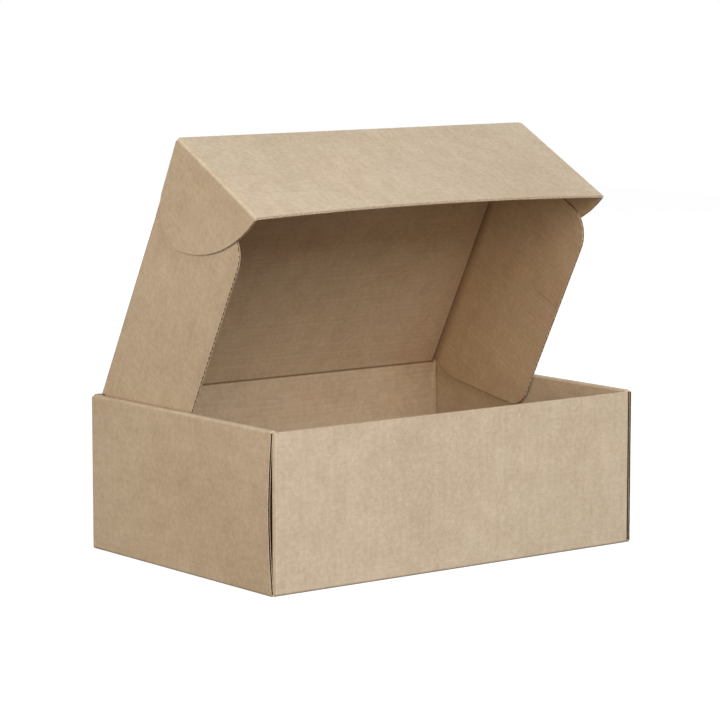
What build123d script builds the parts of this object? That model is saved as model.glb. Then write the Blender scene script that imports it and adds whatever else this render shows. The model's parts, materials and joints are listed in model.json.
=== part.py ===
"""Roll-end tuck-top shipping box of fluted board, standing open, in millimetres.

The origin is the middle of the base, on the surface that the box stands on. +Z is up, +X runs
along the front wall and +Y points to the hinge at the back. The blank is one folded sheet. It is
three solids here, because the lid turns on the back wall and the tuck flap turns on the lid.
"""

from build123d import *
from math import cos, radians, sin, tan
import os

# Board and folds
board = 1.5
fold_inner_radius = 0.15
fold_outer_radius = 1.4
layer_gap = 0.1

# Tray
width = 265.0
depth = 180.0
height = 92.0
front_drop = 1.0
side_end_recess = 0.6
inner_end_gap = 0.5

# Corner tabs, hidden between the layers of the side walls
corner_tab_length = 62.0
corner_tab_taper = 6.0

# Locking tabs of the inner panels and their slots in the base
lock_tab_length = 34.0
lock_tab_spacing = 88.0
lock_tab_recess = 0.2
slot_clearance = 0.4

# Lid and its two wings
lid_open_angle = 62.0
hinge_clearance = 0.3
crease_relief = 0.6
slide_clearance = 0.25
front_clearance = 1.5
wing_width = 84.5
wing_hinge_setback = 2.2
wing_taper_start = 21.5
wing_taper_angle = 18.0
wing_near_radius = 13.0
wing_far_setback = 18.5
wing_far_radius = 17.0

# Tuck flap and its two ears. It leans in as it passes behind the front wall
flap_lean = 24.5
flap_depth = 86.5
ear_reach = 60.0
ear_root_drop = 1.3
ear_tip_drop = 3.0
ear_sweep_radius = 89.0
ear_tip_radius = 23.0

# Planes of the folds, from the outside of the side wall to the lid
fold_mid_radius = fold_inner_radius + board / 2
half_width = width / 2
half_depth = depth / 2
wall_run = half_width - board - layer_gap
tab_plane = wall_run - board
inner_panel_outer = tab_plane - layer_gap
inner_panel_face = inner_panel_outer - board
ear_plane = inner_panel_face - slide_clearance
wing_plane = ear_plane - board - slide_clearance

# The two creases that turn
hinge_y = half_depth - board / 2
hinge_z = height - board / 2
crease_reach = hinge_y + half_depth - 1.5 * board - front_clearance
panel_start = board / 2 + hinge_clearance
panel_end = crease_reach - panel_start

# Directions of the open lid: along it from the hinge, and out of its outer face
lid_origin = Vector(0, hinge_y, hinge_z)
lid_run = Vector(0, -cos(radians(lid_open_angle)), sin(radians(lid_open_angle)))
lid_out = Vector(0, sin(radians(lid_open_angle)), cos(radians(lid_open_angle)))


def lid_section(run):
    """Plane across the lid at a distance from the hinge: x along +X, y out of the outer face."""
    return Plane(origin=lid_origin + lid_run * run, x_dir=(1, 0, 0), z_dir=lid_run)


def flap_section(drop):
    """Plane parallel to the lid at a depth under its middle: x along +X, y back to the hinge."""
    return Plane(origin=lid_origin - lid_out * drop, x_dir=(1, 0, 0), z_dir=lid_out)


# Side view of the lid: x from the hinge along the lid, y from the middle of its board inwards
side_view = Plane(origin=lid_origin, x_dir=lid_run, z_dir=(1, 0, 0))

# Heights of what stands between the base and the top strip of a side wall
layer_foot = board + layer_gap
layer_head = height - board - layer_gap
inner_panel_mid = inner_panel_outer - board / 2

# Section of both side walls and the base: inner panel, top strip, outer panel, base and back again
with BuildSketch(Plane.XZ) as side_roll:
    with BuildLine():
        FilletPolyline(
            (-inner_panel_mid, layer_foot),
            (-inner_panel_mid, height - board / 2),
            (-half_width + board / 2, height - board / 2),
            (-half_width + board / 2, board / 2),
            (half_width - board / 2, board / 2),
            (half_width - board / 2, height - board / 2),
            (inner_panel_mid, height - board / 2),
            (inner_panel_mid, layer_foot),
            radius=fold_mid_radius,
        )
    trace(line_width=board)

# The outer panels alone, which reach past the ends of the inner ones
with BuildSketch(Plane.XZ) as outer_panels:
    add(side_roll.sketch_local)
    Rectangle(width - 2 * board, 3 * height, mode=Mode.SUBTRACT)

# Tray: base, front and back walls, corner tabs and rolled side walls
with BuildPart() as tray:
    # Front wall, base and back wall, with the bead that the lid turns round
    with BuildSketch(Plane.YZ):
        with BuildLine():
            FilletPolyline(
                (-half_depth + board / 2, height - front_drop),
                (-half_depth + board / 2, board / 2),
                (half_depth - board / 2, board / 2),
                (hinge_y, hinge_z),
                radius=fold_mid_radius,
            )
        trace(line_width=board)
        with Locations((hinge_y, hinge_z)):
            Circle(board / 2)
    extrude(amount=wall_run, both=True)

    # Upright folds where these walls turn back into their corner tabs
    with BuildSketch(Plane.XY):
        RectangleRounded(2 * wall_run, depth, fold_outer_radius)
    extrude(amount=height, mode=Mode.INTERSECT)

    # Corner tabs
    for side_x in (-wall_run, tab_plane):
        with BuildSketch(Plane.YZ.offset(side_x)):
            with BuildLine():
                Polyline(
                    (-half_depth + board, layer_foot),
                    (-half_depth + corner_tab_length, layer_foot + corner_tab_taper),
                    (-half_depth + corner_tab_length, layer_head - corner_tab_taper),
                    (-half_depth + board, layer_head),
                    close=True,
                )
            make_face()
            mirror(about=Plane.YZ)
        extrude(amount=board)

    # Rolled side walls
    extrude(side_roll.sketch, amount=half_depth - board - inner_end_gap, both=True)
    extrude(outer_panels.sketch, amount=half_depth - side_end_recess, both=True)

    # Slots in the base, then the tabs of the inner panels that lock in them
    for mid_x in (-inner_panel_mid, inner_panel_mid):
        with BuildSketch(Plane.XY):
            with Locations((mid_x, -lock_tab_spacing / 2), (mid_x, lock_tab_spacing / 2)):
                Rectangle(board + 2 * slot_clearance, lock_tab_length + 2 * slot_clearance)
        extrude(amount=board, mode=Mode.SUBTRACT)
        with BuildSketch(Plane.XY.offset(lock_tab_recess)):
            with Locations((mid_x, -lock_tab_spacing / 2), (mid_x, lock_tab_spacing / 2)):
                Rectangle(board, lock_tab_length)
        extrude(amount=layer_foot - lock_tab_recess)

# Lid: the panel and its two wings, one section cut to the outline of the wings
wing_end = wing_width - board / 2
wing_near_end = wing_hinge_setback + (wing_end - wing_taper_start) * tan(radians(wing_taper_angle))

# The far end of a wing is cut back along the face of the leaning tuck flap
lean = radians(flap_lean)
lean_start = crease_reach - (board / 2 + hinge_clearance) / cos(lean)
wing_far_end = crease_reach - wing_far_setback
wing_far_taper_start = (lean_start - wing_far_end) / tan(lean)
wing_far_corner = lean_start - wing_end * tan(lean)

with BuildPart() as lid:
    with BuildSketch(lid_section(panel_start)):
        with BuildLine():
            FilletPolyline(
                (-wing_plane + board / 2, -wing_end),
                (-wing_plane + board / 2, 0),
                (wing_plane - board / 2, 0),
                (wing_plane - board / 2, -wing_end),
                radius=fold_mid_radius,
            )
        trace(line_width=board)
    extrude(amount=panel_end - panel_start)

    with BuildSketch(side_view) as wing_view:
        with BuildLine():
            Polyline(
                (panel_start, -board),
                (panel_end, -board),
                (panel_end, 0),
                (panel_end - crease_relief, board / 2),
                (wing_far_end, board / 2),
                (wing_far_end, wing_far_taper_start),
                (wing_far_corner, wing_end),
                (wing_near_end, wing_end),
                (wing_hinge_setback, wing_taper_start),
                (wing_hinge_setback, board / 2),
                (panel_start, board / 2),
                close=True,
            )
        make_face()
        near_corner = wing_view.vertices().group_by(Axis.Y)[-1].sort_by(Axis.X)[0]
        fillet(near_corner, radius=wing_near_radius)
        far_corner = wing_view.vertices().group_by(Axis.Y)[-1].sort_by(Axis.X)[-1]
        fillet(far_corner, radius=wing_far_radius)
    extrude(amount=width, both=True, mode=Mode.INTERSECT)

# Tuck flap: the panel and its two ears, one section cut to the outline of the ears
flap_end = flap_depth - board / 2
ear_mid = ear_plane - board / 2

with BuildPart() as tuck_flap:
    with BuildSketch(flap_section(flap_end)):
        with BuildLine():
            FilletPolyline(
                (-ear_mid, -crease_reach + ear_reach),
                (-ear_mid, -crease_reach),
                (ear_mid, -crease_reach),
                (ear_mid, -crease_reach + ear_reach),
                radius=fold_mid_radius,
            )
        trace(line_width=board)
    extrude(amount=flap_end + board)

    with BuildSketch(side_view):
        with Locations((crease_reach, 0)):
            Circle(board / 2)
        with Locations((crease_reach, flap_end / 2)):
            Rectangle(board, flap_end)
        with BuildLine():
            root = (crease_reach, ear_root_drop - board / 2)
            tip = (crease_reach - ear_reach, ear_tip_drop - board / 2)
            Line(root, tip)
            RadiusArc(tip, (crease_reach - board / 2, flap_end), ear_sweep_radius)
            Polyline((crease_reach - board / 2, flap_end), (crease_reach, flap_end), root)
        ear_outline = make_face()
        fillet(ear_outline.vertices().sort_by(Axis.X)[0], radius=ear_tip_radius)
    extrude(amount=width, both=True, mode=Mode.INTERSECT)

os.makedirs("parts", exist_ok=True)

tray.part.label = "tray"
export_step(tray.part, "parts/tray.step")

lid.part.label = "lid"
export_step(lid.part, "parts/lid.step")

tuck_flap.part.label = "tuck_flap"
export_step(tuck_flap.part, "parts/tuck_flap.step")
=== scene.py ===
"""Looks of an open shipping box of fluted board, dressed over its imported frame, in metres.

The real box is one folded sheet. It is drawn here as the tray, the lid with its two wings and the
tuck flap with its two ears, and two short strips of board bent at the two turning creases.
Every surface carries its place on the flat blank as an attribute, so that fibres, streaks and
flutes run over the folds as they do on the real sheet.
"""

import json
import logging
from contextlib import contextmanager
from dataclasses import dataclass, field
from enum import Enum
from math import cos, pi, radians, sin, sqrt, tan
from typing import Callable, Iterable, Iterator, Optional

import bmesh
import bpy
from mathutils import Matrix, Vector


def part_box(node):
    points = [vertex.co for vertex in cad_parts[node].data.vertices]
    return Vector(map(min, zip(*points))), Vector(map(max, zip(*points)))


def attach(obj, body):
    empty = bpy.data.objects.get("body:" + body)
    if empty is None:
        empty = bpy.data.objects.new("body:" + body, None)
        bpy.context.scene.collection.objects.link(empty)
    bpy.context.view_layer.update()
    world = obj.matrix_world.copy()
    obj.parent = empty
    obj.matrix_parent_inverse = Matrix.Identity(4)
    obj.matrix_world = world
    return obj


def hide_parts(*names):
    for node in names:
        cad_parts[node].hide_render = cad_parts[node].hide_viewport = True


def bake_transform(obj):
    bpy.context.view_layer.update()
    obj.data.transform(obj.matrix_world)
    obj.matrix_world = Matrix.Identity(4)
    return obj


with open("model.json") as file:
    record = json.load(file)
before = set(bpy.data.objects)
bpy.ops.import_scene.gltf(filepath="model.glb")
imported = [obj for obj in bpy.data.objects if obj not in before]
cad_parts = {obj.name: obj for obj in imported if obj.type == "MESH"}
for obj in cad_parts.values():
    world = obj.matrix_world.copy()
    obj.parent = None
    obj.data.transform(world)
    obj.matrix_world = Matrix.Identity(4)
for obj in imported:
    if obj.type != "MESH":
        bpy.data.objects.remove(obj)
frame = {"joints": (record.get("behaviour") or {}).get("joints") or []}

logging.basicConfig(level=logging.INFO, format="%(message)s")
log = logging.getLogger("shipping box")

Piece = bpy.types.Object
Colour = tuple[float, float, float, float]
Triple = tuple[float, float, float]
Span = tuple[float, float]
Move = Callable[[Vector], Vector]
PointTest = Callable[[Vector], bool]
FaceTest = Callable[[Vector, Vector], bool]

X_AXIS = Vector((1, 0, 0))
Y_AXIS = Vector((0, 1, 0))
Z_AXIS = Vector((0, 0, 1))

WHITE = (1, 1, 1, 1)
MM = 0.001
BLANK = "blank"

# Points closer than this are the same point, and points closer than the weld are merged
NEAR = 0.02 * MM
WELD = 0.01 * MM

# How far a fold line is seen in the paper, and how far a crease strip reaches to each side
FOLD_REACH = 2.0 * MM
CREASE_LEG = 1.2 * MM

# The place of the second crease, in a panel that has only one: far beyond it
NO_CREASE = 1.0

# A face whose normal's share of an axis is above the first looks along it, and is edge-on to it
# below the second
FACING = 0.9
EDGE_ON = 0.5

# Steps of a rounded corner of an outline
CORNER_STEPS = 14

# The value that noises swing about
NOISE_MIDDLE = 0.5

# Shading: edges below this angle are smooth, and normals follow the larger faces fully
SMOOTH_ANGLE = radians(32)
LARGE_FACE_WEIGHT = 100


class Skin(Enum):
    """Which face of the board a surface is, or painted shade. The value is its material's place on a piece.
    """

    OUTER = 0
    INNER = 1
    CUT = 2
    # Not a face of the board but painted shade: a dark finish put where little light reaches
    HIDDEN = 3

    @property
    def label(self) -> str:
        """The name of this skin's material."""
        return f"board_{self.name.lower()}"


class Turn(Enum):
    """The two sides of the box, as the sign of X."""

    LEFT = -1
    RIGHT = 1


@dataclass(frozen=True)
class Board:
    """Fluted board: two liners with a wavy medium, pressed a little into them. Sizes are in metres."""

    thickness: float = 1.5 * MM
    liner: float = 0.28 * MM
    medium: float = 0.2 * MM
    press: float = 0.02 * MM
    pitch: float = 3.3 * MM
    steps_per_flute: int = 8
    fold_radius: float = 0.9 * MM
    fold_steps: int = 5

    @property
    def half(self) -> float:
        """Half the thickness of the board."""
        return self.thickness / 2

    @property
    def wave(self) -> float:
        """How far the middle of the medium swings to each side."""
        return self.half - self.liner - self.medium / 2 + self.press


BOARD = Board()


class Wire:
    """A value in a material: a node's output, with Python's operators for its maths."""

    def __init__(self, graph: "Graph", socket: bpy.types.NodeSocket) -> None:
        """Wraps a socket.

        Args:
            graph: The graph that new nodes go to.
            socket: The output that the value comes from.
        """
        self.graph = graph
        self.socket = socket

    def _math(self, operation: str, first: object, second: object) -> "Wire":
        """A Math node on two values."""
        return self.graph.node("ShaderNodeMath", {"operation": operation}, {0: first, 1: second})

    def __add__(self, other: object) -> "Wire":
        """This value plus another."""
        return self._math("ADD", self, other)

    def __sub__(self, other: object) -> "Wire":
        """This value less another."""
        return self._math("SUBTRACT", self, other)

    def __rsub__(self, other: object) -> "Wire":
        """A number less this value."""
        return self._math("SUBTRACT", other, self)

    def __mul__(self, other: object) -> "Wire":
        """This value times another."""
        return self._math("MULTIPLY", self, other)

    __radd__ = __add__
    __rmul__ = __mul__

    def __abs__(self) -> "Wire":
        """This value without its sign."""
        return self._math("ABSOLUTE", self, 0.0)

    def sine(self) -> "Wire":
        """The sine of this value."""
        return self._math("SINE", self, 0.0)

    def ramp(self, low: float, high: float) -> "Wire":
        """A smooth rise from 0 at the low value to 1 at the high one."""
        return self.graph.node(
            "ShaderNodeMapRange",
            {"interpolation_type": "SMOOTHSTEP"},
            {"Value": self, "From Min": low, "From Max": high},
        )


class Graph:
    """The nodes of one material."""

    def __init__(self, name: str) -> None:
        """Makes an empty material.

        Args:
            name: The material's name.
        """
        self.material = bpy.data.materials.new(name)
        self.material.use_nodes = True
        self.tree = self.material.node_tree
        self.tree.nodes.clear()

    def node(self, kind: str, settings: dict, inputs: dict, output: object = 0) -> Wire:
        """Adds a node.

        Args:
            kind: The node's type.
            settings: Its settings, which are set first.
            inputs: Values or wires of its inputs, by name or number.
            output: The output that is returned, by name or number.

        Returns:
            The chosen output.
        """
        made = self.tree.nodes.new(kind)
        for key, value in settings.items():
            setattr(made, key, value)
        for key, value in inputs.items():
            if isinstance(value, Wire):
                self.tree.links.new(value.socket, made.inputs[key])
            else:
                made.inputs[key].default_value = value
        return Wire(self, made.outputs[output])

    def blend(self, share: object, first: object, second: object, kind: str = "MIX") -> Wire:
        """Mixes two colours.

        Args:
            share: How much of the second colour there is.
            first: The first colour.
            second: The second colour.
            kind: The way they mix.

        Returns:
            The mixed colour.
        """
        settings = {"data_type": "RGBA", "blend_type": kind}
        return self.node("ShaderNodeMix", settings, {0: share, 6: first, 7: second}, 2)

    def finish(self, shader: Wire) -> bpy.types.Material:
        """Joins a shader to the output and returns the material."""
        out = self.tree.nodes.new("ShaderNodeOutputMaterial")
        self.tree.links.new(shader.socket, out.inputs["Surface"])
        return self.material


def linear(red: int, green: int, blue: int) -> Colour:
    """A colour from the eight-bit values that it shows on a screen, by the sRGB curve."""

    def one(value: int) -> float:
        """One channel."""
        share = value / 255
        return share / 12.92 if share <= 0.04045 else ((share + 0.055) / 1.055) ** 2.4

    return (one(red), one(green), one(blue), 1.0)


@dataclass(frozen=True)
class Grain:
    """One noise on the blank. Its steps are per metre, and its share is its part in the tone."""

    across: float
    down: float
    detail: float
    rough: float = 0.5
    share: float = 0.0


@dataclass(frozen=True)
class Kraft:
    """Brown unbleached liner paper, with patches, pulp mottling, specks and streaks, and painted shade near
    the folds.
    """

    name: str
    colour: Colour
    shade: Colour
    speck: Colour
    blush: Colour
    fold: Colour

    # Noises of the paper
    cloud: Grain = Grain(9, 9, 2, share=0.6)
    tint: Grain = Grain(13, 17, 3)
    patch: Grain = Grain(85, 70, 3, share=0.5)
    mottle: Grain = Grain(330, 300, 4, 0.62, 0.8)
    fleck: Grain = Grain(900, 800, 2)
    grit: Grain = Grain(1300, 1200, 2, share=0.7)
    streak: Grain = Grain(300, 25, 3, 0.65, 0.34)

    # Where the two noises that stand apart from the tone start and end
    tint_range: Span = (0.5, 0.68)
    fleck_range: Span = (0.64, 0.8)
    fleck_share: float = 0.4

    # Flutes that show through, and painted shade: the fold colour darkens the paper near the folds
    flutes: float = 0.012
    fold_shade_range: Span = (0.45, 0.95)
    fold_shade_share: float = 0.0

    # A crushed flute, real wear drawn only as a dark line in the fold colour that also paints the shade of
    # its dent: where it starts across the blank and its row down the blank
    crushed: Optional[Span] = None
    crushed_range: Span = (0.2 * MM, 0.9 * MM)
    crushed_fade: float = 12 * MM
    crushed_share: float = 0.2

    # Relief and shine
    relief: float = 0.03 * MM
    mottle_relief: float = 0.5
    streak_relief: float = 0.4
    roughness: float = 0.88
    roughness_spread: float = 0.1
    specular: float = 0.2

    def build(self) -> bpy.types.Material:
        """Makes the material.

        Returns:
            The material, which reads the blank's attribute.
        """
        g = Graph(self.name)
        place = g.node("ShaderNodeAttribute", {"attribute_name": BLANK}, {}, "Vector")
        down = g.node("ShaderNodeSeparateXYZ", {}, {0: place}, "Y")
        folded = g.node("ShaderNodeSeparateXYZ", {}, {0: place}, "Z")

        def noise(grain: Grain) -> Wire:
            """The noise of a grain."""
            scale = {0: place, 1: (grain.across, grain.down, 0.0)}
            spot = g.node("ShaderNodeVectorMath", {"operation": "MULTIPLY"}, scale)
            values = {"Vector": spot, "Scale": 1.0, "Detail": grain.detail, "Roughness": grain.rough}
            return g.node("ShaderNodeTexNoise", {}, values)

        mottle = noise(self.mottle) - NOISE_MIDDLE
        streak = noise(self.streak) - NOISE_MIDDLE
        wash = (down * (2 * pi / BOARD.pitch)).sine()

        tone = mottle * self.mottle.share + streak * self.streak.share + wash * self.flutes
        for grain in (self.cloud, self.patch, self.grit):
            tone = tone + (noise(grain) - NOISE_MIDDLE) * grain.share
        colour = g.blend((tone + NOISE_MIDDLE).ramp(0.0, 1.0), self.shade, self.colour)
        colour = g.blend(noise(self.tint).ramp(*self.tint_range), colour, self.blush, "MULTIPLY")
        colour = g.blend(noise(self.fleck).ramp(*self.fleck_range) * self.fleck_share, colour, self.speck)
        # Painted shade: darkens the paper towards the fold colour near a fold, by the blank's fold nearness
        colour = g.blend(folded.ramp(*self.fold_shade_range) * self.fold_shade_share, colour, self.fold)
        # Crushed flute: a dark line, part real wear and part painted shade of the dent
        if self.crushed:
            out, row = self.crushed
            across = g.node("ShaderNodeSeparateXYZ", {}, {0: place}, "X").ramp(out, out + self.crushed_fade)
            line = 1 - abs(down - row).ramp(*self.crushed_range)
            colour = g.blend(line * across * self.crushed_share, colour, self.fold)

        height = wash * self.flutes + mottle * self.mottle_relief
        height = height + streak * (self.streak.share * self.streak_relief)
        bump = g.node("ShaderNodeBump", {}, {"Height": height, "Distance": self.relief, "Strength": 1.0})
        shine = mottle * self.roughness_spread + self.roughness
        skin = {"Base Color": colour, "Roughness": shine, "Normal": bump}
        skin["Specular IOR Level"] = self.specular
        return g.finish(g.node("ShaderNodeBsdfPrincipled", {}, skin))


@dataclass(frozen=True)
class CutEdge:
    """Rough fibres, for the die-cut edges of the board, and in a dark copy as painted shade for the places
    that little light reaches.
    """

    name: str
    colour: Colour
    shade: Colour
    fibre_scale: float = 1500.0
    fibre_detail: float = 3.0
    fibre_range: Span = (0.3, 0.7)
    relief: float = 0.1 * MM
    roughness: float = 0.95
    specular: float = 0.15

    def build(self) -> bpy.types.Material:
        """Makes the material.

        Returns:
            The material, which reads Object coordinates.
        """
        g = Graph(self.name)
        place = g.node("ShaderNodeTexCoord", {}, {}, "Object")
        values = {"Vector": place, "Scale": self.fibre_scale, "Detail": self.fibre_detail}
        fibre = g.node("ShaderNodeTexNoise", {}, values)
        colour = g.blend(fibre.ramp(*self.fibre_range), self.shade, self.colour)
        bump = g.node("ShaderNodeBump", {}, {"Height": fibre, "Distance": self.relief})
        skin = {"Base Color": colour, "Roughness": self.roughness, "Normal": bump}
        skin["Specular IOR Level"] = self.specular
        return g.finish(g.node("ShaderNodeBsdfPrincipled", {}, skin))


def deselect() -> None:
    """Leaves edit mode and clears the selection."""
    if bpy.context.object and bpy.context.object.mode != "OBJECT":
        bpy.ops.object.mode_set(mode="OBJECT")
    bpy.ops.object.select_all(action="DESELECT")


def only(piece: Piece) -> None:
    """Makes a piece the only one that is selected, and the active one."""
    deselect()
    piece.select_set(True)
    bpy.context.view_layer.objects.active = piece


@contextmanager
def editing(piece: Piece) -> Iterator[None]:
    """Edit mode on one piece."""
    only(piece)
    bpy.ops.object.mode_set(mode="EDIT")
    yield
    bpy.ops.object.mode_set(mode="OBJECT")


def new_sheet(name: str, low: Vector, high: Vector) -> Piece:
    """Adds a flat panel in the XY plane, as wide and deep as its two corners say.

    Args:
        name: The piece's name.
        low: The lowest corner.
        high: The highest corner, at the same height.

    Returns:
        The piece, with its object at the origin.
    """
    deselect()
    bpy.ops.mesh.primitive_plane_add(size=1)
    piece = bpy.context.object
    piece.name = name
    size = high - low
    with editing(piece):
        bpy.ops.transform.resize(value=(size.x, size.y, 1))
        bpy.ops.transform.translate(value=(low + high) / 2)
    return piece


def pick(piece: Piece, kind: str, test: PointTest) -> None:
    """In edit mode, selects the points or edges whose every corner passes a test.

    Args:
        piece: The piece in edit mode.
        kind: VERT or EDGE.
        test: What a corner's place has to pass.

    Raises:
        ValueError: Nothing passes.
    """
    bpy.ops.mesh.select_mode(type=kind)
    bpy.ops.mesh.select_all(action="DESELECT")
    mesh = bmesh.from_edit_mesh(piece.data)
    if kind == "VERT":
        chosen = [vert for vert in mesh.verts if test(vert.co)]
    else:
        chosen = [edge for edge in mesh.edges if all(test(vert.co) for vert in edge.verts)]
    if not chosen:
        raise ValueError(f"{piece.name}: nothing passes")
    for part in chosen:
        part.select_set(True)
    mesh.select_flush_mode()
    bmesh.update_edit_mesh(piece.data)


def run_out(piece: Piece, test: PointTest, by: Triple) -> None:
    """Extrudes the edges whose corners pass a test, by a distance along each axis."""
    with editing(piece):
        pick(piece, "EDGE", test)
        bpy.ops.mesh.extrude_region_move(TRANSFORM_OT_translate={"value": by})


def cut(piece: Piece, spot: Vector, normal: Vector, drop: bool = False) -> None:
    """Cuts a piece by a plane.

    Args:
        piece: The piece.
        spot: A point of the plane.
        normal: The plane's normal.
        drop: Whether what lies on the normal's side is dropped.
    """
    with editing(piece):
        bpy.ops.mesh.select_all(action="SELECT")
        bpy.ops.mesh.bisect(plane_co=spot, plane_no=normal, clear_outer=drop)


def fold_edges(piece: Piece, test: PointTest) -> None:
    """Rounds the edges whose corners pass a test, as folds of the board."""
    with editing(piece):
        pick(piece, "EDGE", test)
        bpy.ops.mesh.bevel(offset=BOARD.fold_radius, segments=BOARD.fold_steps, affect="EDGES")


def round_corner(piece: Piece, spot: Vector, offset: float) -> None:
    """Rounds the corner of a flat outline that is nearest to a point."""
    with editing(piece):
        nearest = min((vert.co.copy() for vert in piece.data.vertices), key=lambda co: (co - spot).length)
        pick(piece, "VERT", lambda co: (co - nearest).length < NEAR)
        bpy.ops.mesh.bevel(offset=offset, segments=CORNER_STEPS, affect="VERTICES")


def apply_modifier(piece: Piece, kind: str, **settings: object) -> None:
    """Adds a modifier to a piece and applies it."""
    only(piece)
    modifier = piece.modifiers.new(kind.lower(), kind)
    for key, value in settings.items():
        setattr(modifier, key, value)
    bpy.ops.object.modifier_apply(modifier=modifier.name)


def thicken(piece: Piece, thickness: float) -> None:
    """Gives a sheet its thickness, half to each side, and its faces their skins.

    Args:
        piece: The sheet, with its faces pointing to the outside of the box.
        thickness: The thickness.
    """
    skins = {"material_offset": Skin.INNER.value, "material_offset_rim": Skin.CUT.value}
    apply_modifier(piece, "SOLIDIFY", thickness=thickness, offset=0.0, use_even_offset=True, **skins)


def join(first: Piece, others: Iterable[Piece]) -> Piece:
    """Joins pieces into the first one."""
    only(first)
    for other in others:
        other.select_set(True)
    bpy.ops.object.join()
    return first


def reshape(piece: Piece, move: Move) -> None:
    """Moves every point of a piece to where a function says."""
    for vert in piece.data.vertices:
        vert.co = move(vert.co)
    piece.data.update()


def mark_blank(piece: Piece, unfold: Move) -> None:
    """Writes each point's place on the flat blank to the piece.

    Args:
        piece: The piece.
        unfold: Gives the place on the blank of a point of the piece.
    """
    marks = piece.data.attributes.new(BLANK, "FLOAT_VECTOR", "POINT")
    flat = [number for vert in piece.data.vertices for number in unfold(vert.co)]
    marks.data.foreach_set("vector", flat)


def face_out(piece: Piece, way: Vector) -> None:
    """Points an open sheet's faces the same way.

    Args:
        piece: The sheet.
        way: The direction that its largest face has to point to.
    """
    with editing(piece):
        bpy.ops.mesh.select_all(action="SELECT")
        bpy.ops.mesh.remove_doubles(threshold=WELD)
        bpy.ops.mesh.normals_make_consistent(inside=False)
    largest = max(piece.data.polygons, key=lambda polygon: polygon.area)
    if largest.normal.dot(way) < 0:
        with editing(piece):
            bpy.ops.mesh.flip_normals()


def soften(piece: Piece) -> None:
    """Shades a piece smooth across its rounded folds and sharp at its cut edges."""
    only(piece)
    bpy.ops.object.shade_smooth_by_angle(angle=SMOOTH_ANGLE)
    apply_modifier(piece, "WEIGHTED_NORMAL", weight=LARGE_FACE_WEIGHT, keep_sharp=True)


@dataclass
class Finishes:
    """The finishes of the sheet, in the order of Skin. The last one is painted shade, a dark finish for
    places in deep shade.
    """

    outer: Kraft = Kraft(
        Skin.OUTER.label,
        colour=linear(212, 195, 170),
        shade=linear(182, 162, 136),
        speck=linear(150, 126, 98),
        blush=linear(255, 253, 252),
        fold=linear(150, 122, 92),
    )
    inner: Kraft = Kraft(
        Skin.INNER.label,
        colour=linear(206, 183, 152),
        shade=linear(178, 154, 124),
        speck=linear(146, 118, 86),
        blush=linear(255, 249, 248),
        # Painted shade: the fold colour darkens the inside near the folds and draws the crushed flute line
        fold=linear(96, 68, 42),
        streak=Grain(16, 520, 3, 0.65, 0.45),
        flutes=0.03,
        fold_shade_share=0.75,
        crushed=(180.0 * MM, 276.0 * MM),
    )
    cut: CutEdge = CutEdge(Skin.CUT.label, linear(232, 212, 184), linear(184, 154, 122))
    # Painted shade: a dark copy of the cut edge finish for the gaps in the rolled walls, behind the corner
    # tabs and between the liners of the leaves
    hidden: CutEdge = CutEdge(Skin.HIDDEN.label, linear(92, 66, 44), linear(60, 42, 28))

    def build(self) -> None:
        """Makes the materials, before the pieces that carry them."""
        for finish in (self.outer, self.inner, self.cut, self.hidden):
            finish.build()


def dress(piece: Piece) -> None:
    """Gives a piece the materials of the board in the order of Skin, and keeps its faces' skins."""
    places = [polygon.material_index for polygon in piece.data.polygons]
    piece.data.materials.clear()
    for skin in Skin:
        piece.data.materials.append(bpy.data.materials[skin.label])
    piece.data.polygons.foreach_set("material_index", places)
    piece.data.update()


def cut_across(piece: Piece, axis: Vector, *spots: float) -> None:
    """Cuts a piece by planes across an axis, at distances along it."""
    for spot in spots:
        cut(piece, axis * spot, axis)


def divide(piece: Piece, axis: Vector, low: float, high: float, parts: int) -> None:
    """Cuts a piece into equal parts by planes across an axis."""
    cut_across(piece, axis, *(low + (high - low) * step / parts for step in range(1, parts)))


def grow(piece: Piece, test: FaceTest, by: Triple) -> None:
    """Extrudes the faces that pass a test. The new sides keep the skins of the faces beside them.

    Args:
        piece: The thick piece.
        test: Passes a face by its middle and its normal.
        by: The distance along each axis.
    """
    with editing(piece):
        choose_faces(piece, test)
        bpy.ops.mesh.extrude_region_move(TRANSFORM_OT_translate={"value": by})


def choose_faces(piece: Piece, test: FaceTest) -> None:
    """In edit mode, selects the faces whose middle and normal pass a test."""
    bpy.ops.mesh.select_mode(type="FACE")
    bpy.ops.mesh.select_all(action="DESELECT")
    mesh = bmesh.from_edit_mesh(piece.data)
    chosen = [face for face in mesh.faces if test(face.calc_center_median(), face.normal)]
    if not chosen:
        raise ValueError(f"{piece.name}: no face passes")
    for face in chosen:
        face.select_set(True)
    bmesh.update_edit_mesh(piece.data)


def paint(piece: Piece, skin: Skin, test: FaceTest) -> None:
    """Gives a skin to the faces whose middle and normal pass a test."""
    for polygon in piece.data.polygons:
        if test(polygon.center, polygon.normal):
            polygon.material_index = skin.value


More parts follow.
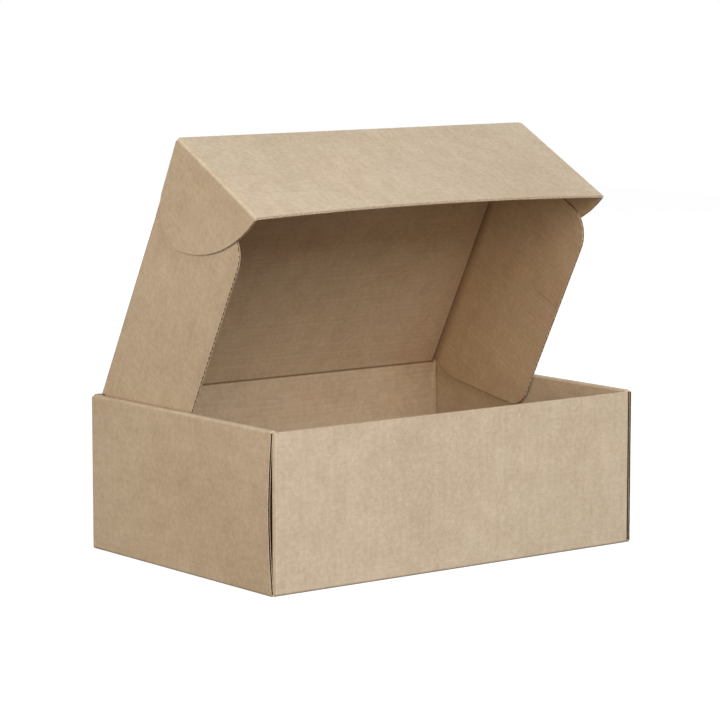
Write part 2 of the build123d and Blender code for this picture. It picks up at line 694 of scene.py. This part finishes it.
@dataclass
class Tray:
    """The tray: base, front and back walls with corner tabs, and rolled side walls, in metres."""

    low: Vector
    high: Vector
    height: float = 92.0 * MM
    gap: float = 0.1 * MM
    front_drop: float = 1.0 * MM
    side_recess: float = 0.6 * MM
    inner_gap: float = 2.0 * MM
    tab_length: float = 62.0 * MM
    tab_taper: float = 6.0 * MM
    lock_length: float = 34.0 * MM
    lock_spacing: float = 88.0 * MM
    lock_recess: float = 0.2 * MM
    lid_half_width: float = 125.8 * MM
    bow: float = 2.3 * MM
    groove: float = 12.0 * MM
    front_ease: float = 0.6 * MM
    bow_reach: float = 45.0 * MM
    bow_strips: int = 8

    def __post_init__(self) -> None:
        """Works out the planes and ends of the panels from the CAD box."""
        half = BOARD.half
        self.outer_x = self.high.x - half
        self.top_z = self.height - half
        self.wall_x = self.outer_x - BOARD.thickness - self.gap
        self.inner_x = self.wall_x - BOARD.thickness - self.gap
        self.end_y = -self.low.y - half
        self.side_y = -self.low.y - self.side_recess
        self.inner_y = -self.low.y - self.inner_gap
        self.foot_z = half + BOARD.fold_radius

    def side_roll(self) -> Piece:
        """Base and both rolled side walls, from one panel whose long edges are run out and folded."""
        half = BOARD.half
        corner = Vector((self.outer_x, self.inner_y, 0))
        lift = Z_AXIS * half
        piece = new_sheet("tray", lift - corner, lift + corner)
        dress(piece)
        for turn in Turn:
            side = turn.value

            def line(x: float, z: float) -> PointTest:
                """A test for points at a line along this side."""
                return lambda co: abs(co.x - side * x) < NEAR and abs(co.z - z) < NEAR

            run_out(piece, line(self.outer_x, half), (0, 0, self.top_z - half))
            run_out(piece, line(self.outer_x, self.top_z), (side * (self.inner_x - self.outer_x), 0, 0))
            run_out(piece, line(self.inner_x, self.top_z), (0, 0, self.foot_z - self.top_z))
            for fold in ((self.outer_x, half), (self.outer_x, self.top_z), (self.inner_x, self.top_z)):
                fold_edges(piece, line(*fold))
        face_out(piece, -Z_AXIS)
        lock_start = (self.lock_spacing - self.lock_length) / 2
        lock_end = (self.lock_spacing + self.lock_length) / 2
        cut_across(piece, Y_AXIS, -lock_end, -lock_start, lock_start, lock_end)
        divide(piece, Z_AXIS, self.foot_z, self.top_z - BOARD.fold_radius, self.bow_strips)
        thicken(piece, BOARD.thickness)

        def outer_end(centre: Vector, normal: Vector) -> bool:
            """Whether a face is a cut end of an outer panel."""
            at_end = abs(normal.y) > FACING and abs(centre.x) > self.outer_x - half
            return at_end and half < centre.z < self.top_z - half

        def grow_ends(test: FaceTest, by: float) -> None:
            """Extrudes the faces that pass a test outwards, at both ends of the tray."""
            for end in (-1, 1):
                grow(
                    piece,
                    lambda centre, normal: centre.y * end > 0 and test(centre, normal),
                    (0, end * by, 0),
                )

        grow_ends(outer_end, self.side_y - self.inner_y)

        with editing(piece):
            choose_faces(piece, outer_end)
            bpy.ops.mesh.inset(thickness=BOARD.liner, use_even_offset=True)

        def core(centre: Vector, normal: Vector) -> bool:
            """Whether a face lies between the liners at a cut end."""
            return abs(abs(centre.x) - self.outer_x) < half - BOARD.liner and outer_end(centre, normal)

        grow_ends(core, -self.groove)

        def shaded_wall_face(centre: Vector, normal: Vector) -> bool:
            """Whether a face of an outer panel is between its liners or faces the corner tab, and so gets
            painted shade.
            """
            upright = self.foot_z < centre.z < self.top_z - BOARD.fold_radius
            in_wall = upright and abs(centre.x) > self.outer_x - half - NEAR
            return in_wall and abs(centre.x) < self.outer_x + half - NEAR and not outer_rim(centre, normal)

        def outer_rim(centre: Vector, normal: Vector) -> bool:
            """Whether a face is the cut edge of one liner."""
            beside = abs(abs(centre.x) - self.outer_x) > half - BOARD.liner
            return abs(normal.y) > FACING and beside and abs(centre.y) > self.side_y - NEAR

        # Painted shade: these faces get the dark finish, standing in for the shade in the groove and behind
        # the corner tabs
        paint(piece, Skin.HIDDEN, shaded_wall_face)

        def lock_foot(centre: Vector, normal: Vector) -> bool:
            """Whether a face is the foot of an inner panel where a locking tab starts."""
            on_foot = abs(abs(centre.x) - self.inner_x) < half and normal.z < -FACING and centre.z > half
            return on_foot and lock_start < abs(centre.y) < lock_end

        grow(piece, lock_foot, (0, 0, self.lock_recess - self.foot_z))
        return piece

    def end_wall(self, end: int) -> Piece:
        """A front or back wall with its two corner tabs.

        Args:
            end: The sign of Y: -1 at the front, 1 at the back.

        Returns:
            The wall, whose foot curves under to the base.
        """
        half, radius = BOARD.half, BOARD.fold_radius
        head = self.top_z - half - self.gap if end < 0 else self.top_z - CREASE_LEG
        low, high = Vector((-self.wall_x, self.foot_z, 0)), Vector((self.wall_x, head, 0))
        piece = new_sheet("end_wall", low, high)
        dress(piece)
        turned = Matrix(((1, 0, 0, 0), (0, 0, 0, end * self.end_y), (0, 1, 0, 0), (0, 0, 0, 1)))
        piece.data.transform(turned)
        for turn in Turn:
            side = turn.value

            def upright(co: Vector) -> bool:
                """Whether a point is on the upright end of the wall."""
                return abs(co.x - side * self.wall_x) < NEAR and abs(co.y - end * self.end_y) < NEAR

            run_out(piece, upright, (0, -end * self.tab_length, 0))
            fold_edges(piece, upright)
        tab_end = self.end_y - self.tab_length

        def taper(co: Vector) -> Vector:
            """Draws the free end of a tab in towards its middle."""
            share = max(0.0, (self.end_y - radius - abs(co.y)) / (self.end_y - radius - tab_end))
            middle = (self.foot_z + head) / 2
            narrow = 1 - share * self.tab_taper / (head - middle)
            return Vector((co.x, co.y, middle + (co.z - middle) * narrow))

        reshape(piece, taper)
        face_out(piece, Y_AXIS * end)
        thicken(piece, BOARD.thickness)

        def rim(up: int) -> FaceTest:
            """A test for the wall's cut faces at its foot (-1) or its head (1)."""
            return lambda centre, normal: normal.z * up > FACING and abs(centre.y) > self.end_y - half

        with editing(piece):
            choose_faces(piece, rim(-1))
            bpy.ops.mesh.spin(
                steps=BOARD.fold_steps,
                angle=end * pi / 2,
                center=(0, end * (self.end_y - radius), self.foot_z),
                axis=(1, 0, 0),
            )
        grow(
            piece,
            lambda centre, normal: -normal.y * end > FACING and centre.z < self.foot_z,
            (0, end * (self.inner_y - self.end_y + radius), 0),
        )

        def tab_outside(centre: Vector, normal: Vector) -> bool:
            """Whether a face of a corner tab faces the outer side panel."""
            on_tab = abs(centre.x) > self.wall_x and abs(centre.y) < self.end_y - half
            return on_tab and abs(normal.x) > FACING

        # Painted shade: the tab faces towards the outer side panels get the dark finish, for the shade in
        # the gap between them
        paint(piece, Skin.HIDDEN, tab_outside)
        if end < 0:
            grow(piece, rim(1), (0, 0, self.height - self.front_drop - head))
        else:
            cut_across(piece, X_AXIS, -self.lid_half_width, self.lid_half_width)
            grow(
                piece,
                lambda centre, normal: rim(1)(centre, normal) and abs(centre.x) > self.lid_half_width,
                (0, 0, self.height - head),
            )
        return piece

    def build(self) -> Piece:
        """Builds and dresses the tray.

        Returns:
            The piece.
        """
        piece = join(self.side_roll(), [self.end_wall(-1), self.end_wall(1)])
        mark_blank(piece, self.unfold)
        reshape(piece, self.shape)
        dress(piece)
        soften(piece)
        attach(piece, "tray")
        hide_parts("tray")
        return piece

    def shape(self, co: Vector) -> Vector:
        """Bows the front end of the left outer panel, and draws in the ends of the front wall."""
        side = 1 if co.x > 0 else -1
        if abs(co.x) > self.outer_x - BOARD.half - self.gap / 2:
            along = max(0.0, (self.bow_reach - co.y - self.side_y) / self.bow_reach)
            bow = self.bow if side < 0 else 0.0
            return co + X_AXIS * (side * bow * along * sin(pi * co.z / self.height))
        if co.y < -self.end_y + BOARD.half + NEAR and abs(co.x) > self.wall_x - 2 * BOARD.thickness:
            return co - X_AXIS * (side * self.front_ease)
        return co

    def unfold(self, co: Vector) -> Vector:
        """Place on the blank of a point of the tray."""
        reach = BOARD.half + self.gap / 2
        side = 1 if co.x > 0 else -1
        end = 1 if co.y > 0 else -1
        across, along = abs(co.x), abs(co.y)
        if across > self.outer_x - reach:
            return Vector((side * (self.outer_x + co.z), co.y, 0))
        if along > self.end_y - reach:
            return Vector((co.x, end * (self.end_y + co.z), 0))
        if co.z > self.top_z - reach:
            return Vector((side * (2 * self.outer_x + self.top_z - across), co.y, 0))
        if co.z < BOARD.thickness + self.gap / 2:
            return Vector((co.x, co.y, 0))
        if across > self.wall_x - reach:
            return Vector((side * (self.wall_x + self.end_y - along), end * (self.end_y + co.z), 0))
        return Vector((side * (2 * self.outer_x + 2 * self.top_z - self.inner_x - co.z), co.y, 0))


def frame_at(origin: Vector, down: Vector, out: Vector) -> Matrix:
    """A frame at a point, with x along the box and y and z along two directions."""
    return Matrix.Translation(origin) @ Matrix((X_AXIS, down, out)).transposed().to_4x4()


def nearness(distance: float) -> float:
    """How near a point is to a fold: 1 on it, and 0 from the reach of a fold on."""
    return max(0.0, 1 - abs(distance) / FOLD_REACH)


@dataclass
class WingedSheet:
    """A panel with a side leaf folded down at each end, drawn flat and then set in its place.

    Its own frame has x along the box, y down the panel and z the way that the leaves are folded.
    """

    name: str
    body: str
    place: Matrix
    leaf_x: float
    start: float
    end: float
    leaf_depth: float
    blank_start: float
    crease_y: float
    strips: tuple[int, int] = (1, 1)

    def centre(self) -> Piece:
        """The panel, with its side edges folded over into short legs."""
        low, high = Vector((-self.leaf_x, self.start, 0)), Vector((self.leaf_x, self.end, 0))
        piece = new_sheet(self.name, low, high)
        dress(piece)
        for turn in Turn:

            def edge(co: Vector) -> bool:
                """Whether a point is on the fold at this side."""
                return abs(co.x - turn.value * self.leaf_x) < NEAR and abs(co.z) < NEAR

            run_out(piece, edge, (0, 0, CREASE_LEG))
            fold_edges(piece, edge)
        face_out(piece, -Z_AXIS)
        cut_across(piece, X_AXIS, FOLD_REACH - self.leaf_x, self.leaf_x - FOLD_REACH)
        cut_across(piece, Y_AXIS, FOLD_REACH + CREASE_LEG, self.end - FOLD_REACH)
        divide(piece, X_AXIS, -self.leaf_x, self.leaf_x, self.strips[0])
        divide(piece, Y_AXIS, self.start, self.end, self.strips[1])
        thicken(piece, BOARD.thickness)
        return piece

    def outline(self, turn: Turn) -> Piece:
        """The flat outline of a leaf, drawn in the XY plane with z of the sheet as x."""
        raise NotImplementedError

    def leaf(self, turn: Turn) -> list[Piece]:
        """Both liners and the wavy medium of one leaf.

        Args:
            turn: The side of the leaf.

        Returns:
            The three layers.
        """
        side = turn.value
        shift = BOARD.half - BOARD.liner / 2
        stand = Matrix(((0, 0, 1, 0), (0, 1, 0, 0), (1, 0, 0, 0), (0, 0, 0, 1)))
        layers = []
        for skin, offset in ((Skin.OUTER, shift), (Skin.INNER, -shift)):
            liner = self.outline(turn)
            dress(liner)
            liner.data.transform(stand)
            away = side if skin is Skin.OUTER else -side
            face_out(liner, X_AXIS * away)
            thicken(liner, BOARD.liner)
            paint(liner, Skin.CUT, lambda centre, normal: True)
            paint(liner, skin, lambda centre, normal: normal.x * away > FACING)
            liner.data.transform(Matrix.Translation(X_AXIS * (side * (self.leaf_x + offset))))
            layers.append(liner)
        medium = self.medium()
        cutter = self.outline(turn)
        through = 3 * BOARD.thickness
        thicken(cutter, through)
        apply_modifier(medium, "BOOLEAN", operation="INTERSECT", object=cutter, solver="EXACT")
        bpy.data.objects.remove(cutter)
        medium.data.transform(Matrix.Translation(X_AXIS * (side * self.leaf_x)) @ stand)
        with editing(medium):
            bpy.ops.mesh.select_all(action="SELECT")
            bpy.ops.mesh.normals_make_consistent(inside=False)
        paint(medium, Skin.CUT, lambda centre, normal: abs(normal.x) < EDGE_ON)
        # Painted shade: the wave faces of the medium get the dark finish, for the shade between the liners
        paint(medium, Skin.HIDDEN, lambda centre, normal: abs(normal.x) >= EDGE_ON)
        return [*layers, medium]

    def medium(self) -> Piece:
        """A wavy sheet whose flutes run along x, larger than a leaf."""
        low = Vector((CREASE_LEG, self.start, 0))
        high = Vector((self.leaf_depth + 2 * BOARD.pitch, self.end + BOARD.pitch, 0))
        piece = new_sheet("medium", low, high)
        dress(piece)
        count = round((high.y - low.y) / BOARD.pitch * BOARD.steps_per_flute)
        with editing(piece):
            pick(piece, "EDGE", lambda co: True)
            mesh = bmesh.from_edit_mesh(piece.data)
            for edge in mesh.edges:
                ends = [vert.co for vert in edge.verts]
                edge.select_set(abs(ends[0].x - ends[1].x) < NEAR)
            bmesh.update_edit_mesh(piece.data)
            bpy.ops.mesh.subdivide_edgering(number_cuts=count, interpolation="LINEAR")
        rate = 2 * pi / BOARD.pitch

        def wave(co: Vector) -> Vector:
            """Lifts a point of the flat medium to its wave."""
            return Vector((co.x, co.y, BOARD.wave * sin(rate * (co.y + self.blank_start))))

        reshape(piece, wave)
        apply_modifier(piece, "SOLIDIFY", thickness=BOARD.medium, offset=0.0)
        return piece

    def shape(self, co: Vector) -> Vector:
        """Where a point really is: a sheet is straight unless its class says otherwise."""
        return co

    def unfold(self, co: Vector) -> Vector:
        """Place on the blank of a point in the sheet's own frame, and how near it is to a fold."""
        side = 1 if co.x > 0 else -1
        across = max(self.leaf_x - abs(co.x), 0.0)
        beside = max(max(across, co.z) - BOARD.half, 0.0)
        fold = max(nearness(beside), nearness(co.y), nearness(self.crease_y - co.y))
        place = side * (min(abs(co.x), self.leaf_x) + max(co.z, 0.0))
        return Vector((place, self.blank_start + co.y, fold))

    def build(self) -> Piece:
        """Builds, dresses and places the sheet.

        Returns:
            The piece.
        """
        layers = [layer for turn in Turn for layer in self.leaf(turn)]
        piece = join(self.centre(), layers)
        piece.name = self.name
        mark_blank(piece, self.unfold)
        reshape(piece, self.shape)
        piece.data.transform(self.place)
        dress(piece)
        soften(piece)
        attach(piece, self.body)
        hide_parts(self.body)
        return piece


@dataclass
class Lid(WingedSheet):
    """The lid panel and its two wings, of which the right one is deeper by twice the uneven size."""

    setback: float = 2.2 * MM
    taper_start: float = 21.5 * MM
    taper_angle: float = radians(18)
    near_radius: float = 13.0 * MM
    far_setback: float = 18.5 * MM
    far_radius: float = 18.0 * MM
    uneven: float = 2.0 * MM

    def outline(self, turn: Turn) -> Piece:
        """A wing: square at the far end, tapered at the hinge, with two rounded corners."""
        depth = self.leaf_depth + turn.value * self.uneven
        far = self.end + CREASE_LEG - self.far_setback
        piece = new_sheet("wing", Vector((CREASE_LEG, self.setback, 0)), Vector((depth, far, 0)))
        slope = Vector((cos(pi / 2 - self.taper_angle), -sin(pi / 2 - self.taper_angle), 0))
        cut(piece, Vector((self.taper_start, self.setback, 0)), slope, drop=True)
        near = self.setback + (depth - self.taper_start) * tan(self.taper_angle)
        corner = (pi / 2 + self.taper_angle) / 2
        round_corner(piece, Vector((depth, near, 0)), self.near_radius * tan(pi / 2 - corner))
        round_corner(piece, Vector((depth, far, 0)), self.far_radius)
        return piece


@dataclass
class TuckFlap(WingedSheet):
    """The tuck flap and its two ears. Its free edge bows out between them."""

    root_drop: float = 0.55 * MM
    tip_drop: float = 2.25 * MM
    sweep: float = 89.0 * MM
    tip_radius: float = 23.0 * MM
    sweep_steps: int = 160
    bow: float = 3.0 * MM
    bow_power: float = 1.6

    def outline(self, turn: Turn) -> Piece:
        """An ear: a straight edge beside the lid and a long arc from its tip to the flap's free edge."""
        tip = Vector((self.leaf_depth, self.tip_drop, 0))
        foot = Vector((BOARD.half, self.end, 0))
        chord = foot - tip
        middle = (foot + tip) / 2
        away = Vector((-chord.y, chord.x, 0)).normalized()
        if away.x > 0:
            away = -away
        centre = middle + away * sqrt(self.sweep**2 - (chord.length / 2) ** 2)
        deselect()
        bpy.ops.mesh.primitive_circle_add(
            radius=self.sweep, vertices=self.sweep_steps, fill_type="NGON", location=centre
        )
        piece = bpy.context.object
        bpy.ops.object.transform_apply(location=True, rotation=False, scale=False)
        cut(piece, X_AXIS * CREASE_LEG, -X_AXIS, drop=True)
        edge = (tip - Y_AXIS * self.root_drop).normalized()
        square = Vector((-edge.y, edge.x, 0))
        cut(piece, tip, -square, drop=True)
        self.round_tip(piece, centre, tip, edge, square)
        return piece

    def round_tip(self, piece: Piece, centre: Vector, tip: Vector, edge: Vector, square: Vector) -> None:
        """Rounds the tip with an arc that touches the straight edge and the long arc from within.

        Args:
            piece: The ear's flat outline.
            centre: The middle of the long arc.
            tip: A point of the straight edge.
            edge: The direction of the straight edge, to the tip.
            square: The direction into the ear from the straight edge.
        """
        rise = (centre - tip).dot(square)
        reach = sqrt((self.sweep - self.tip_radius) ** 2 - (self.tip_radius - rise) ** 2)
        along = (centre - tip).dot(edge)
        middle = tip + square * self.tip_radius + edge * (along + reach)
        on_edge = middle - square * self.tip_radius
        on_sweep = centre + (middle - centre).normalized() * self.sweep
        chord = (on_sweep - on_edge).normalized()
        cut(piece, on_edge, Vector((chord.y, -chord.x, 0)), drop=True)
        with editing(piece):
            pick(piece, "EDGE", lambda co: abs((co - on_edge).cross(chord).z) < NEAR)
            bpy.ops.mesh.subdivide(number_cuts=CORNER_STEPS)

        def swell(co: Vector) -> Vector:
            """Moves a point of the chord out to the tip's arc."""
            away = co - middle
            if abs((co - on_edge).cross(chord).z) > NEAR:
                return co
            return middle + away.normalized() * self.tip_radius

        reshape(piece, swell)

    def shape(self, co: Vector) -> Vector:
        """Bows the panel outwards, most at the middle of its free edge."""
        across = max(0.0, 1 - (co.x / self.leaf_x) ** 2)
        down = max(0.0, co.y / self.end) ** self.bow_power
        return co - Z_AXIS * (self.bow * across * down)


@dataclass
class Crease:
    """A strip of board bent at a turning crease, from a leg on one body to one on the other."""

    name: str
    parent: str
    child: str
    axis_point: Vector
    into: Vector
    out: Vector
    half_width: float
    blank_start: float

    def build(self) -> Piece:
        """Builds and dresses the strip.

        Returns:
            The piece.
        """
        start, end = self.axis_point - self.into * CREASE_LEG, self.axis_point + self.out * CREASE_LEG
        low, high = Vector((-self.half_width, -CREASE_LEG, 0)), Vector((self.half_width, 0, 0))
        piece = new_sheet(self.name, low, high)
        dress(piece)
        piece.data.transform(frame_at(self.axis_point, self.into, self.into.cross(X_AXIS)))

        def at_axis(co: Vector) -> bool:
            """Whether a point is on the edge of the leg that lies on the fold."""
            return (co - self.axis_point).dot(self.into) > -NEAR

        run_out(piece, at_axis, tuple(self.out * CREASE_LEG))

        def on_axis(co: Vector) -> bool:
            """Whether a point is on the fold."""
            return (co - self.axis_point).yz.length < NEAR

        fold_edges(piece, on_axis)
        face_out(piece, self.into - self.out)
        thicken(piece, BOARD.thickness)
        run = (end - start).normalized()

        def unfold(co: Vector) -> Vector:
            """Place on the blank of a point of the strip, and how near it is to the fold."""
            along = (co - self.axis_point).dot(run)
            return Vector((co.x, self.blank_start + along, nearness(along)))

        mark_blank(piece, unfold)
        dress(piece)
        soften(piece)
        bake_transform(piece)
        return piece


@dataclass
class Joints:
    """The places and directions of the two turning creases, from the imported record."""

    hinge: Vector
    crease: Vector
    run: Vector = field(init=False)
    down: Vector = field(init=False)

    def __post_init__(self) -> None:
        """Works out the lid's direction, and the direction of the tuck flap square to it."""
        self.run = (self.crease - self.hinge).normalized()
        self.down = Vector((0, -self.run.z, self.run.y))

    def lid_place(self) -> Matrix:
        """The lid's own frame: x along the box, y down the lid from the hinge, z inwards."""
        return frame_at(self.hinge, self.run, self.down)

    def flap_place(self) -> Matrix:
        """The flap's own frame: x along the box, y down the flap from its crease, z to the hinge."""
        return frame_at(self.crease, self.down, -self.run)


@dataclass(frozen=True)
class Lamp:
    """A soft square lamp that faces the box.

    Its direction is in degrees, around from the front towards the left side and above the floor.
    Its power is in watts.
    """

    name: str
    around: float
    above: float
    power: float
    colour: Triple


@dataclass
class Studio:
    """A pale floor, soft lamps and the camera at the photograph's angle."""

    lens: float = 156.308
    sensor: float = 36.0
    clip: Span = (0.05, 50.0)
    yaw: float = radians(37.6721)
    pitch: float = radians(7.5562)
    eye: Vector = field(default_factory=lambda: Vector((-1.11955, -1.44704, 0.35374)))
    lamps: tuple[Lamp, ...] = (
        Lamp("key", 0, 36, 43, (0.94, 1.0, 1.07)),
        Lamp("left_front", 45, 14, 20, (1.0, 0.8, 0.62)),
        Lamp("left", 90, 16, 19, (1.0, 0.94, 0.86)),
        Lamp("behind", 215, 14, 26, (1.0, 1.0, 1.0)),
    )
    lamp_size: float = 1.5
    lamp_distance: float = 2.2
    aim: Vector = field(default_factory=lambda: Z_AXIS * 0.1)
    floor_size: float = 4.0
    floor_paper: Colour = (0.2, 0.2, 0.2, 1)
    floor_glow: float = 0.95
    surround: float = 0.105

    def camera(self) -> None:
        """Places the camera. It looks at the box from the front and left, a little down."""
        data = bpy.data.cameras.new("camera")
        data.lens = self.lens
        data.sensor_width = self.sensor
        data.clip_start, data.clip_end = self.clip
        camera = bpy.data.objects.new("camera", data)
        camera.location = self.eye
        camera.rotation_euler = (pi / 2 - self.pitch, 0, -self.yaw)
        bpy.context.scene.collection.objects.link(camera)
        bpy.context.scene.camera = camera

    def light(self, lamp: Lamp) -> None:
        """Adds a lamp, which the camera doesn't see."""
        around, above = radians(lamp.around), radians(lamp.above)
        way = Vector((-sin(around) * cos(above), -cos(around) * cos(above), sin(above)))
        data = bpy.data.lights.new(lamp.name, "AREA")
        data.size = self.lamp_size
        data.energy = lamp.power
        data.color = lamp.colour
        light = bpy.data.objects.new(lamp.name, data)
        light.location = self.aim + way * self.lamp_distance
        light.visible_camera = False
        light.rotation_mode = "QUATERNION"
        light.rotation_quaternion = (-way).to_track_quat("-Z", "Y")
        bpy.context.scene.collection.objects.link(light)

    def floor(self) -> None:
        """Adds a wide pale floor, which glows for the camera alone."""
        deselect()
        bpy.ops.mesh.primitive_plane_add(size=self.floor_size)
        floor = bpy.context.object
        floor.name = "floor"
        g = Graph("floor_white")
        path = g.node("ShaderNodeLightPath", {}, {}, "Is Camera Ray")
        paper = g.node("ShaderNodeBsdfDiffuse", {}, {"Color": self.floor_paper})
        glow = g.node("ShaderNodeEmission", {}, {"Color": WHITE, "Strength": self.floor_glow})
        lit = g.node("ShaderNodeAddShader", {}, {0: paper, 1: glow})
        mixed = g.node("ShaderNodeMixShader", {}, {0: path, 1: paper, 2: lit})
        floor.data.materials.append(g.finish(mixed))

    def world(self) -> None:
        """Makes the surround: dim light for the box, and plain white for the camera."""
        world = bpy.data.worlds.new("surround")
        bpy.context.scene.world = world
        world.use_nodes = True
        tree = world.node_tree
        tree.nodes.clear()
        out = tree.nodes.new("ShaderNodeOutputWorld")
        path = tree.nodes.new("ShaderNodeLightPath")
        mix = tree.nodes.new("ShaderNodeMixShader")
        tree.links.new(path.outputs["Is Camera Ray"], mix.inputs[0])
        for place, strength in ((1, self.surround), (2, 1.0)):
            white = tree.nodes.new("ShaderNodeBackground")
            white.inputs["Color"].default_value = WHITE
            white.inputs["Strength"].default_value = strength
            tree.links.new(white.outputs[0], mix.inputs[place])
        tree.links.new(mix.outputs[0], out.inputs["Surface"])

    def build(self) -> None:
        """Sets up the whole studio."""
        self.camera()
        self.floor()
        self.world()
        for lamp in self.lamps:
            self.light(lamp)
        bpy.context.scene.view_settings.view_transform = "Standard"


def main() -> None:
    """Builds the box and the studio."""
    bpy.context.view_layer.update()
    places = {joint["name"]: Vector(joint["pos_m"]) for joint in frame["joints"]}
    joints = Joints(places["lid_hinge"], places["flap_hinge"])
    Finishes().build()
    tray = Tray(*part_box("tray"))
    lid_length = (joints.crease - joints.hinge).length
    lid_blank = tray.end_y + joints.hinge.z
    flap_blank = lid_blank + lid_length
    lid = Lid(
        name="lid",
        body="lid",
        place=joints.lid_place(),
        leaf_x=tray.lid_half_width - BOARD.half,
        start=CREASE_LEG,
        end=lid_length - CREASE_LEG,
        leaf_depth=83.75 * MM,
        blank_start=lid_blank,
        crease_y=lid_length,
    )
    flap = TuckFlap(
        name="tuck_flap",
        body="tuck_flap",
        place=joints.flap_place(),
        leaf_x=126.8 * MM,
        start=CREASE_LEG,
        end=85.75 * MM,
        leaf_depth=60.0 * MM,
        blank_start=flap_blank,
        crease_y=NO_CREASE,
        strips=(16, 6),
    )
    hinge = Crease("lid_crease", "tray", "lid", joints.hinge, Z_AXIS, joints.run, lid.leaf_x, lid_blank)
    crease = Crease(
        name="flap_crease",
        parent="lid",
        child="tuck_flap",
        axis_point=joints.crease,
        into=joints.run,
        out=joints.down,
        half_width=lid.leaf_x,
        blank_start=flap_blank,
    )
    for part in (tray, lid, flap, hinge, crease):
        piece = part.build()
        log.info("%s: %d faces", piece.name, len(piece.data.polygons))
    Studio().build()


if __name__ == "__main__":
    main()
